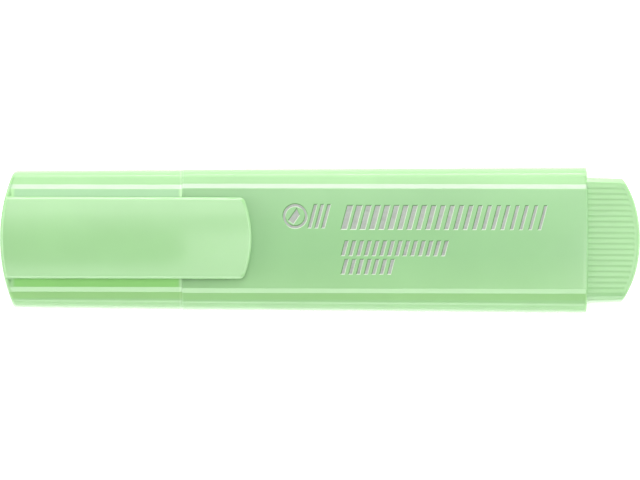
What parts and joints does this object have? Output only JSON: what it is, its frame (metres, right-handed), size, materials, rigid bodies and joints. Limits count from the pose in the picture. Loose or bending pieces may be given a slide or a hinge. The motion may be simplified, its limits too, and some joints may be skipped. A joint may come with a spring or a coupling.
{
  "type": "highlighter",
  "caption": "Flat-bodied highlighter with a pull-off clip cap, ribbed tail plug, chisel nib and fibre ink reservoir, lying on its back face.",
  "frame": {"origin": "centre of the bounding box's bottom face, midway along and across the pen, on the flat back that it lies on", "axes": "+X along the pen from the cap to the tail plug, +Y across its broad face, +Z out of the face with the clip"},
  "size_m": [0.118, 0.0266, 0.018],
  "materials": {
    "body_plastic": "glossy pastel green injection-moulded polypropylene",
    "clip_plastic": "glossy pastel green injection-moulded plastic",
    "section_plastic": "satin pastel green polypropylene",
    "nib_fibre": "bonded polyester fibre soaked in pastel green ink",
    "core_fibre": "ink-soaked fibre bundle",
    "film_plastic": "thin clear wrap",
    "tube_plastic": "natural polyethylene",
    "seal_plastic": "natural soft polyethylene",
    "foil": "hot-stamped silver-grey foil"
  },
  "bodies": {
    "barrel_body": {"barrel": "body_plastic", "front_section": "section_plastic", "nib": "nib_fibre", "reservoir_core": "core_fibre", "reservoir_film": "film_plastic", "breather_tube": "tube_plastic", "end_plug": "body_plastic", "foil_print": "foil"},
    "cap_body": {"cap_shell": "body_plastic", "inner_cap": "seal_plastic"},
    "clip_arm": {"clip": "clip_plastic"}
  },
  "joints": [
    {"name": "cap_pull", "type": "slide", "parent": "barrel_body", "child": "cap_body", "axis": [-1, 0, 0], "range_m": [0, 0.045]},
    {"name": "clip_flex", "type": "hinge", "parent": "cap_body", "child": "clip_arm", "pos_m": [-0.0582, 0, 0.01595], "axis": [0, -1, 0], "range_deg": [0, 4], "stiffness_Nm_per_rad": 3}
  ]
}
